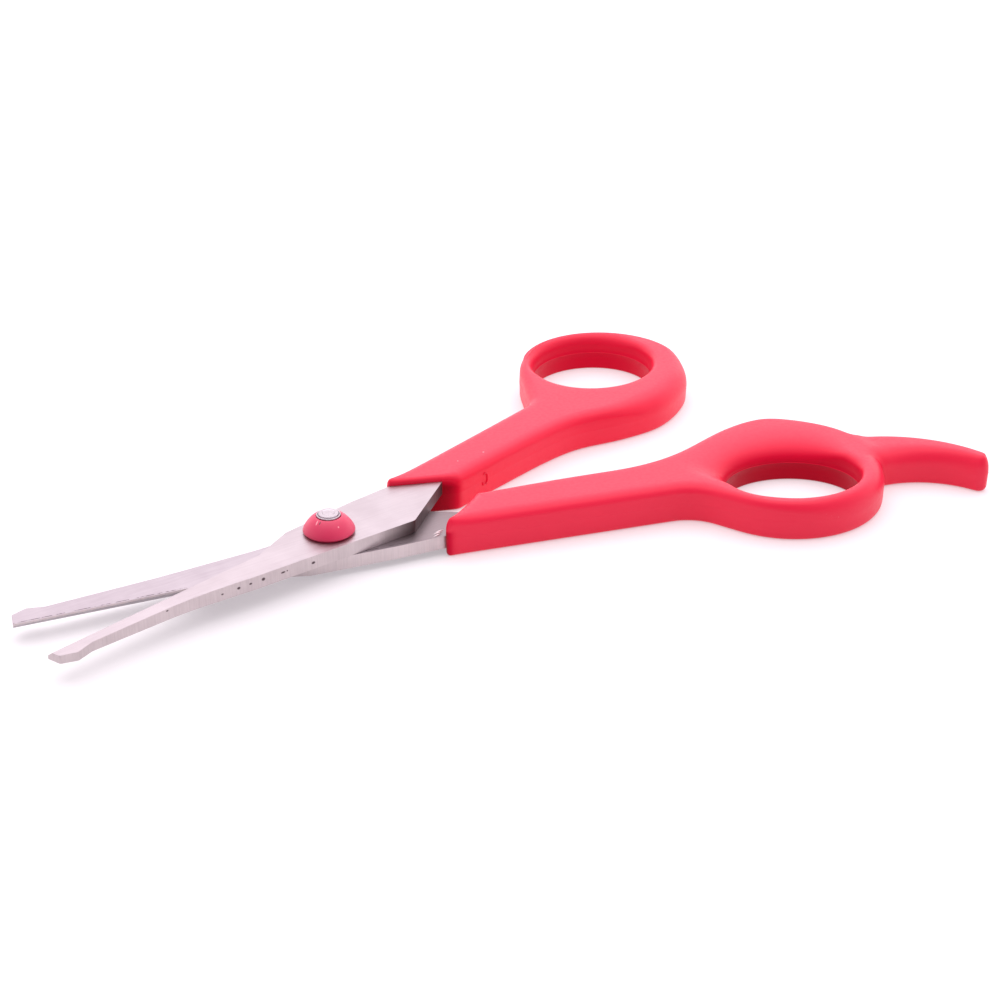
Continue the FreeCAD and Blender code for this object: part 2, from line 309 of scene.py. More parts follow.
def with_front(sizes, front_sizes, room, front):
    """The same with the front face's own sizes on it."""
    front_reach = soft_min(np.full(len(room), front_sizes[0]), room)
    return blended(sizes, (front_reach, front_sizes[1]), front)


PARTING_ROWS = ((1, 0), (0.3, 1), (-0.3, 1), (-1, 0))   # height above the middle, share of the crest


def wall_rows(points, normals, top, bottom, roundings, bead):
    """Rows of 3-D points from the top face's rim down the wall to the bottom face's rim."""
    (top_reach, top_drop), (bottom_reach, bottom_drop) = roundings
    middle = (top(points) + bottom(points)) / 2

    def row(reach, height):
        place = points - normals * reach[:, None]
        return np.column_stack([place, height])

    def standing_back(height):
        return WALL_INSET + DRAFT * np.abs(height - middle)

    rows = []
    for k in range(ROUND_STEPS + 1):
        turn = math.pi / 2 * (1 - k / ROUND_STEPS)
        reach = top_reach * (1 - math.cos(turn))
        height = top(points - normals * reach[:, None]) - top_drop * (1 - math.sin(turn))
        rows.append(row(reach + standing_back(height) * math.cos(turn), height))
    upper_wall = (top(points) - top_drop + middle + PARTING_HALF_WIDTH) / 2
    rows.append(row(standing_back(upper_wall), upper_wall))
    for offset, crest in PARTING_ROWS:
        height = middle + offset * PARTING_HALF_WIDTH
        rows.append(row(standing_back(height) - WALL_INSET * crest * bead, height))
    lower_wall = (bottom(points) + bottom_drop + middle - PARTING_HALF_WIDTH) / 2
    rows.append(row(standing_back(lower_wall), lower_wall))
    for k in range(ROUND_STEPS + 1):
        turn = math.pi / 2 * k / ROUND_STEPS
        reach = bottom_reach * (1 - math.cos(turn))
        height = bottom(points - normals * reach[:, None]) + bottom_drop * (1 - math.sin(turn))
        rows.append(row(reach + standing_back(height) * math.cos(turn), height))
    return rows


def front_share(outer, normals):
    """1 on the front face, which looks at the pivot, and 0 elsewhere."""
    to_pivot = -outer / np.linalg.norm(outer, axis=1, keepdims=True)
    facing = (normals * to_pivot).sum(1)
    near = np.linalg.norm(outer, axis=1) < FRONT_REACH
    return smoothed(smooth_step(*FACING_PIVOT, facing) * near, FRONT_SPREAD)


def outer_side(outer, hole, front, front_top, top, bottom, on_rest):
    """Rows of points down the outer side, with the rings' and the finger rest's own roundings."""
    normals = outward(outer)
    room = smoothed(room_inside(outer, -normals, np.vstack([outer, hole])), ROOM_SPREAD)
    on_ring = smooth_step(RING_START, RING_START + RING_BLEND, outer[:, 0])
    far = smooth_step(*FACING_FAR, normals @ FAR_DIRECTION) * on_ring
    close = smooth_step(*FACING_CLOSE, normals @ CLOSE_DIRECTION) * on_ring * (1 - on_rest)
    rest = on_rest * (1 - REST_END_LOSS * smooth_step(*FACING_REST_END, normals[:, 0]))

    share = SAFE_SHARE + (FACING_DISHED_SHARE - SAFE_SHARE) * far + (CLOSE_SHARE - SAFE_SHARE) * close
    sizes = blended(OUTER_TOP, OUTER_TOP_FAR, far)
    sizes = blended(sizes, OUTER_TOP_CLOSE, close)
    sizes = blended(sizes, REST_TOP, rest)
    top_sizes = with_front(fitted(sizes, room, share), front_top, room, front)
    bottom_sizes = with_front(fitted(OUTER_BOTTOM, room), FRONT_BOTTOM, room, front)

    untrimmed = smooth_step(*FACING_UNTRIMMED, normals[:, 0])
    bead = FAINT_PARTING + (1 - FAINT_PARTING) * untrimmed
    bead = bead * (1 - front) * (1 - CLOSE_PARTING_LOSS * close)
    return wall_rows(outer, normals, top, bottom, (top_sizes, bottom_sizes), bead)


def hole_side(outer, hole, top, bottom):
    """Rows of points down the hole's wall, dished on its +Y side."""
    normals = -outward(hole)
    room = smoothed(room_inside(hole, -normals, outer), ROOM_SPREAD)
    dished = smooth_step(*FACING_DISH, -normals[:, 1])
    close = smooth_step(*FACING_CLOSE, -normals @ CLOSE_DIRECTION)
    share = SAFE_SHARE + (DISHED_SHARE - SAFE_SHARE) * dished + (FACING_CLOSE_SHARE - SAFE_SHARE) * close
    top_sizes = fitted(blended(HOLE_TOP, HOLE_TOP_DISHED, dished), room, share, STEEPEST_IN_HOLE)
    bottom_sizes = fitted(HOLE_BOTTOM, room)
    return wall_rows(hole, normals, top, bottom, (top_sizes, bottom_sizes), np.ones(len(hole)))


def joined_side(bm, rows):
    """Joins rows of points into a closed side, and gives their vertices."""
    grid = [[bm.verts.new(p) for p in row] for row in rows]
    for upper, lower in zip(grid, grid[1:]):
        for i in range(len(upper)):
            j = (i + 1) % len(upper)
            bm.faces.new((upper[i], lower[i], lower[j], upper[j]))
    return grid


def set_painted_shade(grid, painted_shade, shades, row_shares):
    """Fills the vertex layer of painted shade: a shade for each point of an outline, times a share for
    each row.
    """
    for row, row_share in zip(grid, row_shares):
        for vert, depth in zip(row, shades):
            vert[painted_shade] = depth * row_share


def skin(bm, outer_row, hole_row, rim, height):
    """The top or bottom face between two rows of points, whose vertices are the rim."""
    places, source, triangles = face_fill(outer_row[:, :2], hole_row[:, :2], SKIN_STEP)
    heights = height(places)
    verts = []
    for k, place in enumerate(places):
        if source[k] is not None and source[k] < len(rim):
            verts.append(rim[source[k]])
        else:
            verts.append(bm.verts.new((place[0], place[1], heights[k])))
    for a, b, c in triangles:
        bm.faces.new((verts[a], verts[b], verts[c]))


CREST_ROWS = (ROUND_STEPS + 3, ROUND_STEPS + 4)   # the two rows of the parting line's crest
# The parting line's crest gets less of the painted shade, a painted highlight along it.
CREST_SHADE = 0.3
SHADE_ROWS = (1, 16)                          # the painted shade on the hole's wall grows from one row to the other


def moulding(name, node, cut_height, body, front_top, hole_shade, top, on_rest=None, extra=None):
    """A moulded ring handle with rounded edges, built on the outline of its CAD node.

    A vertex layer holds painted shade for the material: 1 on the front face, the given share on the hole's
    wall, and less on the parting line's crest.
    """
    loops = section(node, cut_height)
    outer = even_outline(loops[0], OUTLINE_STEP, OUTLINE_SOFTNESS)
    hole = even_outline(loops[1], OUTLINE_STEP, OUTLINE_SOFTNESS)
    front = front_share(outer, outward(outer))
    bottom = level(0.0)
    rest = np.zeros(len(outer)) if on_rest is None else on_rest(outer)
    outer_rows = outer_side(outer, hole, front, front_top, top, bottom, rest)
    hole_rows = hole_side(outer, hole, top, bottom)

    bm = bmesh.new()
    painted_shade = bm.verts.layers.float.new("painted_shade")
    outer_grid = joined_side(bm, outer_rows)
    hole_grid = joined_side(bm, hole_rows)
    set_painted_shade(outer_grid, painted_shade, front, [float(k > ROUND_STEPS) for k in range(len(outer_rows))])
    hole_shares = [smooth_step(*SHADE_ROWS, k) for k in range(len(hole_rows))]
    for k in CREST_ROWS:
        hole_shares[k] = CREST_SHADE
    set_painted_shade(hole_grid, painted_shade, np.full(len(hole), hole_shade), hole_shares)
    for end, height in ((0, top), (-1, bottom)):
        skin(bm, outer_rows[end], hole_rows[end], outer_grid[end] + hole_grid[end], height)
    if extra is not None:
        extra(bm)
    return new_object(name, bm, [PLASTIC], body, [node])


def level(height):
    return lambda points: np.full(len(points), height)


def finger_ring():
    """Centre and radius of the finger handle's ring, from the round part of its outline."""
    outer, hole = section("finger_handle", FINGER_CUT)[:2]
    away = outer - hole.mean(0)
    turn = np.degrees(np.arctan2(away[:, 1], away[:, 0]))
    arc = outer[(turn > -140) & (turn < -40)]
    rows = np.column_stack([2 * arc, np.ones(len(arc))])
    x, y, rest = np.linalg.lstsq(rows, (arc ** 2).sum(1), rcond=None)[0]
    return np.array([x, y]), math.sqrt(rest + x * x + y * y)


RING_CENTRE, RING_RADIUS = finger_ring()


def past_ring(points, start=-1.6 * MM, end=1.4 * MM):
    """0 on the ring and the shank, 1 out on the finger rest; start and end are from the ring's edge."""
    out = np.linalg.norm(points - RING_CENTRE, axis=1) - RING_RADIUS
    on_rest_side = smooth_step(*REST_SIDE, points[:, 0] - RING_CENTRE[0])
    return smooth_step(start, end, out) * on_rest_side


def on_finger_rest(points):
    return past_ring(points, *REST_ROUNDING)


def finger_top(points):
    return HANDLE_HEIGHT - REST_DROP * past_ring(points)


def tapered_tube(bm, line, radius, material_index=0, sides=8):
    """A closed round sliver along a line of points, thickest in the middle."""
    faces = []
    rings = []
    turns = [2 * math.pi * i / sides for i in range(sides)]
    for k, point in enumerate(line):
        along = (line[min(k + 1, len(line) - 1)] - line[max(k - 1, 0)]).normalized()
        across = along.orthogonal().normalized()
        other = along.cross(across)
        thick = radius * math.sin(math.pi * (k + 0.5) / len(line))
        spokes = [across * math.cos(t) + other * math.sin(t) for t in turns]
        rings.append([bm.verts.new(point + spoke * thick) for spoke in spokes])
    for here, there in zip(rings, rings[1:]):
        for i in range(sides):
            j = (i + 1) % sides
            faces.append(bm.faces.new((here[i], here[j], there[j], there[i])))
    faces += [bm.faces.new(rings[0]), bm.faces.new(rings[-1])]
    for face in faces:
        face.material_index = material_index


def gate_mark(bm):
    """The crescent and the drip that the moulding gate left on the thumb handle's inner side."""
    along, up = Vector((0.970, 0.243, 0)), Vector((0, 0, 1))
    centre = Vector((35.4, 4.66, 3.8)) * MM
    arc_radius, arc_squash = 1.15 * MM, 0.6
    turns = [math.radians(-140 + 280 * k / 16) for k in range(17)]
    arc = [centre + (along * math.cos(t) * arc_squash + up * math.sin(t)) * arc_radius for t in turns]
    tapered_tube(bm, arc, 0.26 * MM)
    drip = [centre + (up * (-0.5 - 0.2 * k) - along * 0.5) * MM for k in range(5)]
    tapered_tube(bm, drip, 0.24 * MM)


# ---------------------------------------------------------------- steel

def ground_steel_piece(name, node, body, materials, extra=None):
    """A blade with its ground edges broken by tiny chamfers, so that they catch the light."""
    bm = bmesh.new()
    bm.from_mesh(frame["nodes"][node].data)
    bmesh.ops.remove_doubles(bm, verts=bm.verts, dist=0.001 * MM)
    bmesh.ops.dissolve_limit(
        bm, angle_limit=FLAT_ANGLE, verts=bm.verts, edges=bm.edges, use_dissolve_boundaries=False
    )
    sharp = [e for e in bm.edges if len(e.link_faces) == 2 and e.calc_face_angle() > SHARP_ANGLE]
    bmesh.ops.bevel(
        bm, geom=sharp, offset=EDGE_BREAK, offset_type="OFFSET", segments=2, profile=0.5,
        affect="EDGES", clamp_overlap=True,
    )
    bm.normal_update()
    for face in bm.faces:
        face.material_index = 1 if abs(face.normal.z) < 0.5 else 0
    if extra is not None:
        extra(bm)
    obj = new_object(name, bm, materials, body, [node])
    weighted_normals(obj)
    return obj


# Place in millimetres, turn about Z in degrees, length in millimetres.
BURRS = ((17.7, -7.0, 4, 1.9), (17.1, -7.4, -4, 2.0), (16.6, -8.0, 6, 1.8))
BURR_RADIUS = 0.2 * MM
BURR_DEPTH = 0.03 * MM        # of a burr's middle line, in the steel


def tang_burrs(bm):
    """Three raised burrs left by the punch on the lower tang, beside the handle."""
    for x, y, turn, length in BURRS:
        along = Vector((math.cos(math.radians(turn)), math.sin(math.radians(turn)), 0))
        middle = Vector((x * MM, y * MM, LOWER_HIGH.z - BURR_DEPTH))
        line = [middle + along * length * MM * (k / 6 - 0.5) for k in range(7)]
        tapered_tube(bm, line, BURR_RADIUS, material_index=1)


def lathe(name, profile, body, material, replaces, segments=128):
    """A closed (radius, height) profile turned about the pivot axis."""
    bm = bmesh.new()
    rings = []
    turns = [2 * math.pi * k / segments for k in range(segments)]
    for radius, height in profile:
        if radius == 0:
            rings.append([bm.verts.new((0, 0, height))])
            continue
        rings.append([bm.verts.new((radius * math.cos(t), radius * math.sin(t), height)) for t in turns])
    for here, there in zip(rings, rings[1:] + rings[:1]):
        if len(here) == 1 and len(there) == 1:
            continue
        for i in range(segments):
            j = (i + 1) % segments
            corners = (
                here[i % len(here)], here[j % len(here)],
                there[j % len(there)], there[i % len(there)],
            )
            bm.faces.new(list(dict.fromkeys(corners)))
    obj = new_object(name, bm, [material], body, replaces)
    weighted_normals(obj)
    return obj


def quarter(centre, radius, start, end, steps=5):
    """Points of a rounding in a profile, from one direction to another, in degrees."""
    turns = [math.radians(start + (end - start) * k / steps) for k in range(steps + 1)]
    return [(centre[0] + radius * math.cos(t), centre[1] + radius * math.sin(t)) for t in turns]


# ---------------------------------------------------------------- materials

def material(name):
    made = bpy.data.materials.new(name)
    made.use_nodes = True
    nodes, links = made.node_tree.nodes, made.node_tree.links
    shader = next(n for n in nodes if n.type == "BSDF_PRINCIPLED")
    place = nodes.new("ShaderNodeTexCoord").outputs["Object"]
    return made, nodes, links, shader, place


def noise(nodes, links, place, stretch, scale, detail=3.0, roughness=0.55):
    """Noise over object coordinates, with its grain stretched along each axis by these shares."""
    mapping = nodes.new("ShaderNodeMapping")
    mapping.inputs["Scale"].default_value = stretch
    links.new(place, mapping.inputs["Vector"])
    made = nodes.new("ShaderNodeTexNoise")
    made.inputs["Scale"].default_value = scale
    made.inputs["Detail"].default_value = detail
    made.inputs["Roughness"].default_value = roughness
    links.new(mapping.outputs["Vector"], made.inputs["Vector"])
    return made.outputs["Fac"]


def spread(nodes, links, value, low, high, to_low, to_high):
    """A value whose range from low to high is mapped onto another one, and held at its ends."""
    made = nodes.new("ShaderNodeMapRange")
    made.inputs["From Min"].default_value = low
    made.inputs["From Max"].default_value = high
    made.inputs["To Min"].default_value = to_low
    made.inputs["To Max"].default_value = to_high
    links.new(value, made.inputs["Value"])
    return made.outputs["Result"]


def arithmetic(nodes, links, operation, first, second):
    made = nodes.new("ShaderNodeMath")
    made.operation = operation
    links.new(first, made.inputs[0])
    if isinstance(second, float):
        made.inputs[1].default_value = second
    else:
        links.new(second, made.inputs[1])
    return made.outputs["Value"]


def blend_colours(nodes, links, factor, first, second):
    """A mix of two colours, each one fixed or made by other nodes."""
    made = nodes.new("ShaderNodeMix")
    made.data_type = "RGBA"
    for socket, colour in ((made.inputs[6], first), (made.inputs[7], second)):
        if isinstance(colour, tuple):
            socket.default_value = (*colour, 1)
        else:
            links.new(colour, socket)
    links.new(factor, made.inputs[0])
    return made.outputs[2]


def bump(nodes, links, height, strength, distance, onto=None):
    made = nodes.new("ShaderNodeBump")
    made.inputs["Strength"].default_value = strength
    made.inputs["Distance"].default_value = distance
    links.new(height, made.inputs["Height"])
    if onto is not None:
        links.new(onto, made.inputs["Normal"])
    return made.outputs["Normal"]


MARK_CORE = 0.65              # a mark fades from this share of its size outwards


def marks(nodes, links, place, spots):
    """1 inside small oval marks and 0 elsewhere; a mark is its centre, turn and half sizes, in mm."""
    total = None
    for centre, turn, size in spots:
        local = nodes.new("ShaderNodeMapping")
        local.vector_type = "TEXTURE"
        local.inputs["Location"].default_value = Vector(centre) * MM
        local.inputs["Rotation"].default_value = (0, 0, math.radians(turn))
        local.inputs["Scale"].default_value = Vector(size) * MM
        links.new(place, local.inputs["Vector"])
        away = nodes.new("ShaderNodeVectorMath")
        away.operation = "LENGTH"
        links.new(local.outputs["Vector"], away.inputs[0])
        mask = spread(nodes, links, away.outputs["Value"], MARK_CORE, 1.0, 1.0, 0.0)
        total = mask if total is None else arithmetic(nodes, links, "MAXIMUM", total, mask)
    return total


def moulded_plastic(name, light, dark, roughness, streak, pale_specks_and_highlights, dark_marks, gloss_level):
    """Satin moulded plastic with painted shade: darker colour and darker reflections where a vertex layer
    marks the hole walls and front faces.
    """
    made, nodes, links, shader, place = material(name)
    cloudy = noise(nodes, links, place, (1, 1, 1), 60, 2)
    colour = blend_colours(nodes, links, cloudy, dark, light)
    # Painted shade: the vertex layer darkens the colour and the tint of the reflections.
    painted_shade = nodes.new("ShaderNodeAttribute")
    painted_shade.attribute_name = "painted_shade"
    colour = blend_colours(nodes, links, painted_shade.outputs["Fac"], colour, PAINTED_SHADE_COLOUR)
    sheltered = spread(nodes, links, painted_shade.outputs["Fac"], 0.0, 0.3, 0.0, 1.0)
    gloss = blend_colours(nodes, links, sheltered, CLEAR_GLOSS, PAINTED_SHADE_GLOSS)
    links.new(gloss, shader.inputs["Specular Tint"])
    shader.inputs["Specular IOR Level"].default_value = gloss_level
    # Pale marks: specks on the handles, and painted highlights on the dome.
    colour = blend_colours(nodes, links, marks(nodes, links, place, pale_specks_and_highlights), colour, PALE_SPECK_AND_HIGHLIGHT_COLOUR)
    # Dark marks, painted shade in the gap beside the tang among them.
    colour = blend_colours(nodes, links, marks(nodes, links, place, dark_marks), colour, DARK_MARK_COLOUR)
    links.new(colour, shader.inputs["Base Color"])
    grain = noise(nodes, links, place, (1, 1, 1), 1400, 2)
    links.new(spread(nodes, links, grain, 0.3, 0.7, *roughness), shader.inputs["Roughness"])
    streaks = noise(nodes, links, place, (0.06, 0.06, 1), 2200, 3)
    fine = bump(nodes, links, grain, 0.12, 0.02 * MM)
    normal = bump(nodes, links, streaks, streak, 0.03 * MM, fine)
    links.new(normal, shader.inputs["Normal"])
    return made


def steel(
    name, light, dark, stretch, roughness, grind, fineness=2600, pits=(), edge_line=None, shaded_end=None,
):
    """Ground steel: grind lines along one axis over slow stains.

    It can have pits, residue beside a cutting edge, and painted shade that darkens it along X towards the
    handles.
    """
    made, nodes, links, shader, place = material(name)
    shader.inputs["Metallic"].default_value = 1.0
    lines = noise(nodes, links, place, stretch, fineness, 4, 0.65)
    stains = noise(nodes, links, place, (1, 1, 1), 140, 3)
    both = arithmetic(nodes, links, "MULTIPLY", arithmetic(nodes, links, "ADD", lines, stains), 0.5)
    tone = spread(nodes, links, both, 0.38, 0.62, 0.0, 1.0)
    colour = blend_colours(nodes, links, tone, dark, light)
    if pits:
        colour = blend_colours(nodes, links, marks(nodes, links, place, pits), colour, PIT_COLOUR)
    if edge_line:
        residue = dirty_line(nodes, links, place, *edge_line)
        colour = blend_colours(nodes, links, residue, colour, PIT_COLOUR)
    # Painted shade: the steel darkens along X towards the handles.
    if shaded_end:
        start, end, shade_colour = shaded_end
        axes = nodes.new("ShaderNodeSeparateXYZ")
        links.new(place, axes.inputs["Vector"])
        shade_share = spread(nodes, links, axes.outputs["X"], start, end, 0.0, 1.0)
        colour = blend_colours(nodes, links, shade_share, colour, shade_colour)
    links.new(colour, shader.inputs["Base Color"])
    links.new(spread(nodes, links, lines, 0.3, 0.7, *roughness), shader.inputs["Roughness"])
    links.new(bump(nodes, links, lines, grind, 0.02 * MM), shader.inputs["Normal"])
    return made


def dirty_line(nodes, links, place, start, end):
    """Mask of a thin broken line of residue beside a straight cutting edge, given in millimetres."""
    core, width = 0.05 * MM, 0.13 * MM
    along = (Vector(end) - Vector(start)).normalized()
    across = Vector((-along.y, along.x, 0))
    offset = nodes.new("ShaderNodeVectorMath")
    offset.operation = "DOT_PRODUCT"
    offset.inputs[1].default_value = across
    links.new(place, offset.inputs[0])
    edge_offset = across.dot(Vector(start)) * MM
    from_line = arithmetic(nodes, links, "SUBTRACT", offset.outputs["Value"], edge_offset)
    away = arithmetic(nodes, links, "ABSOLUTE", from_line, 0.0)
    near = spread(nodes, links, away, core, width, 1.0, 0.0)
    gaps = noise(nodes, links, place, (1, 1, 1), 1500, 2)
    broken = spread(nodes, links, gaps, 0.42, 0.55, 0.0, 1.0)
    return arithmetic(nodes, links, "MULTIPLY", near, broken)


# Painted shade of the hole walls and front faces: its colour, and the reflection tints without and with
# it.
PAINTED_SHADE_COLOUR = (0.30, 0.003, 0.012)
CLEAR_GLOSS, PAINTED_SHADE_GLOSS = (1.0, 1.0, 1.0), (0.40, 0.05, 0.07)   # tints of the reflections
# Colour of the pale marks: specks, and painted highlights on the dome.
PALE_SPECK_AND_HIGHLIGHT_COLOUR = (0.95, 0.30, 0.36)
# Colour of the dark marks: painted shade beside the tang, and a dark mark on the dome.
DARK_MARK_COLOUR = (0.10, 0.004, 0.01)
PIT_COLOUR = (0.10, 0.07, 0.08)
# Painted shade on the steel towards the handles: where it begins and is complete along X, and its colour.
TANG_SHADE = (3 * MM, 13 * MM, (0.270, 0.222, 0.232))
SHOULDER_SHADE = (6.0 * MM, 13.4 * MM, (0.135, 0.107, 0.110))

# Small marks, some of them flaws and some painted highlight or shade: centre, turn about Z in degrees,
# half sizes along, across and up, in millimetres.
HANDLE_SPECKS = (
    ((37.4, 8.0, 7.2), 20, (0.22, 0.16, 0.3)),
    ((31.6, 7.7, 7.2), 0, (0.15, 0.15, 0.3)),
    ((75.4, -42.5, 4.4), -35, (0.20, 0.3, 0.22)),
    ((76.8, -42.9, 3.9), -30, (0.14, 0.3, 0.12)),
    ((74.5, -42.2, 4.9), -35, (0.10, 0.3, 0.10)),
)
# Painted shade: a dark slit on the thumb handle's front face, in the gap beside the tang.
TANG_GAP_SHADE = (((25.75, 3.25, 4.9), 40, (0.5, 0.55, 1.3)),)
# Painted highlights: small pale spots on the dome where it catches the light.
CAP_HIGHLIGHTS = (
    ((-2.75, -0.75, 8.9), 25, (0.60, 0.16, 0.5)),
    ((-0.1, -3.35, 8.4), 0, (0.16, 0.2, 0.16)),
    ((-3.0, -2.2, 8.1), 0, (0.12, 0.12, 0.12)),
)
CAP_MARKS = (((-2.45, -1.25, 8.95), 25, (0.35, 0.12, 0.5)),)
SPINE_PITS = (
    ((-6.7, -5.9, 4.9), 15, (0.42, 0.5, 0.28)),
    ((-12.6, -6.2, 5.1), 0, (0.50, 0.5, 0.20)),
    ((-11.8, -6.1, 5.15), 0, (0.16, 0.5, 0.16)),
    ((-16.4, -6.3, 5.15), 0, (0.40, 0.5, 0.34)),
    ((-18.8, -6.4, 5.1), 0, (0.32, 0.5, 0.22)),
    ((-21.0, -6.4, 5.0), 0, (0.36, 0.5, 0.28)),
    ((-24.0, -6.4, 4.85), 0, (0.28, 0.5, 0.17)),
    ((-34.1, -6.8, 5.4), 0, (0.28, 0.5, 0.16)),
)
LOWER_EDGE_LINE = ((-54.6, 6.55, 0), (-9.3, -2.85, 0))   # the lower cutting edge, in millimetres

PLASTIC = moulded_plastic(
    "handle_plastic", light=(0.90, 0.0090, 0.055), dark=(0.84, 0.0075, 0.048), roughness=(0.36, 0.46),
    streak=0.12, pale_specks_and_highlights=HANDLE_SPECKS, dark_marks=TANG_GAP_SHADE, gloss_level=0.4,
)
CAP_PLASTIC = moulded_plastic(
    "cap_plastic", light=(0.76, 0.026, 0.12), dark=(0.64, 0.013, 0.07), roughness=(0.34, 0.44),
    streak=0.02, pale_specks_and_highlights=CAP_HIGHLIGHTS, dark_marks=CAP_MARKS, gloss_level=0.7,
)
FACE_GRAIN, SIDE_GRAIN, NO_GRAIN = (0.05, 1, 1), (1, 1, 0.03), (1, 1, 1)
UPPER_FACE = steel(
    "upper_blade_face", light=(0.50, 0.445, 0.465), dark=(0.43, 0.375, 0.395), stretch=FACE_GRAIN,
    roughness=(0.34, 0.44), grind=0.08,
)
LOWER_FACE = steel(
    "lower_blade_face", light=(0.45, 0.40, 0.43), dark=(0.38, 0.33, 0.36), stretch=FACE_GRAIN,
    roughness=(0.36, 0.46), grind=0.08, edge_line=LOWER_EDGE_LINE, shaded_end=TANG_SHADE,
)
UPPER_SIDE = steel(
    "upper_blade_side", light=(0.62, 0.545, 0.555), dark=(0.49, 0.425, 0.435), stretch=SIDE_GRAIN,
    roughness=(0.36, 0.50), grind=0.35, fineness=4600, pits=SPINE_PITS, shaded_end=SHOULDER_SHADE,
)
LOWER_SIDE = steel(
    "lower_blade_side", light=(0.64, 0.56, 0.57), dark=(0.51, 0.445, 0.455), stretch=SIDE_GRAIN,
    roughness=(0.36, 0.50), grind=0.35, fineness=4600,
)
RIVET_STEEL = steel(
    "rivet_steel", light=(0.56, 0.50, 0.53), dark=(0.46, 0.41, 0.44), stretch=NO_GRAIN,
    roughness=(0.16, 0.26), grind=0.06,
)
SPRING_STEEL = steel(
    "spring_steel", light=(0.40, 0.38, 0.37), dark=(0.32, 0.30, 0.30), stretch=NO_GRAIN,
    roughness=(0.35, 0.5), grind=0.1,
)

# ---------------------------------------------------------------- pieces

moulding(
    "thumb_handle_moulding", "thumb_handle", THUMB_CUT, "thumb_half", THUMB_FRONT, hole_shade=0.35,
    top=level(HANDLE_HEIGHT), extra=gate_mark,
)
moulding(
    "finger_handle_moulding", "finger_handle", FINGER_CUT, "finger_half", FINGER_FRONT, hole_shade=0.75,
    top=finger_top, on_rest=on_finger_rest,
)
ground_steel_piece("upper_blade_steel", "upper_blade", "thumb_half", [UPPER_FACE, UPPER_SIDE])
ground_steel_piece("lower_blade_steel", "lower_blade", "finger_half", [LOWER_FACE, LOWER_SIDE], tang_burrs)


def cap_profile():
    """The dome: a foot that draws in below its widest line, a full side, a bore, hollow below."""
    base, top = CAP_LOW.z, CAP_HIGH.z
    bore = WASHER_RADIUS + 0.05 * MM
    foot_height = 0.45 * MM
    foot_draw = 0.30 * MM
    edge = 0.12 * MM
    slackness = 1.55     # 1 is a quarter ellipse, 2 a straight cone
    steps = 24
    points = [(CAP_HOLLOW_RADIUS, base), (CAP_RADIUS - foot_draw - edge, base)]
    points += quarter((CAP_RADIUS - foot_draw - edge, base + edge), edge, -90, -20, 3)
    points += quarter((CAP_RADIUS - edge, base + foot_height), edge, -30, 30, 3)
    start, end = points[-1], (bore + edge, top)
    for k in range(1, steps + 1):
        turn = math.pi / 2 * k / steps
        radius = end[0] + (start[0] - end[0]) * math.cos(turn) ** slackness
        height = start[1] + (end[1] - start[1]) * math.sin(turn) ** slackness
        points.append((radius, height))
    points += quarter((bore + edge, top - edge), edge, 90, 180, 4)[1:]
    points += [(bore, WASHER_LOW.z), (NECK_RADIUS, WASHER_LOW.z)]
    points += [(NECK_RADIUS, CAP_SHOULDER), (CAP_HOLLOW_RADIUS, CAP_SHOULDER)]
    return points


def washer_profile():
    """Bright washer: a raised flat disc, a narrow groove and a thin outer rim."""
    seat, top = WASHER_LOW.z, WASHER_HIGH.z
    disc = 1.70 * MM
    disc_edge = 0.06 * MM
    rim_half = 0.11 * MM
    rim_drop = 0.26 * MM
    groove_drop = 0.5 * MM
    bore = NECK_RADIUS + 0.01 * MM
    points = [(bore, seat), (WASHER_RADIUS, seat)]
    points += quarter((WASHER_RADIUS - rim_half, top - rim_drop), rim_half, 0, 180, 8)
    points += [(WASHER_RADIUS - 2 * rim_half, top - groove_drop), (disc, top - groove_drop)]
    points += quarter((disc - disc_edge, top - disc_edge), disc_edge, 0, 90, 4)
    points += [(bore + disc_edge, top), (bore, top - disc_edge / 2)]
    return points


def rivet_profile():
    """The low head underneath, the pin, and the neck spread into the washer."""
    head_edge = 0.5 * MM
    neck_edge = 0.06 * MM
    points = [(0, 0), (RIVET_HEAD_RADIUS - 1.4 * head_edge, 0)]
    points += quarter((RIVET_HEAD_RADIUS - head_edge, head_edge), head_edge, -70, 0, 5)
    points += [(RIVET_HEAD_RADIUS, LOWER_LOW.z), (PIN_RADIUS, LOWER_LOW.z), (PIN_RADIUS, CAP_SHOULDER)]
    points += [(NECK_RADIUS, CAP_SHOULDER)]
    points += quarter((NECK_RADIUS - neck_edge, RIVET_HIGH.z - neck_edge), neck_edge, 0, 80, 4)
    points += [(NECK_RADIUS / 2, RIVET_HIGH.z - neck_edge / 2), (0, RIVET_HIGH.z - neck_edge)]
    return points


lathe("pivot_cap_dome", cap_profile(), "finger_half", CAP_PLASTIC, ["pivot_cap"])
lathe("head_washer_disc", washer_profile(), "finger_half", RIVET_STEEL, ["head_washer"])
lathe("pivot_rivet_pin", rivet_profile(), "finger_half", RIVET_STEEL, ["pivot_rivet"])
spring_mesh = frame["nodes"]["tension_washer"].data
spring_mesh.materials.clear()
spring_mesh.materials.append(SPRING_STEEL)

# ---------------------------------------------------------------- floor, light and camera

VIEW_AZIMUTH = math.radians(-35.43)
VIEW_ELEVATION = math.radians(27.4)
VIEW_TARGET = Vector((37.0, 2.25, 0)) * MM
VIEW_DISTANCE = 382.2 * MM
VIEW_LENS, VIEW_SENSOR = 76.5, 36.0   # focal length and picture width, both in millimetres
AWAY = Vector((-math.sin(VIEW_AZIMUTH), math.cos(VIEW_AZIMUTH), 0))   # level, from the camera on

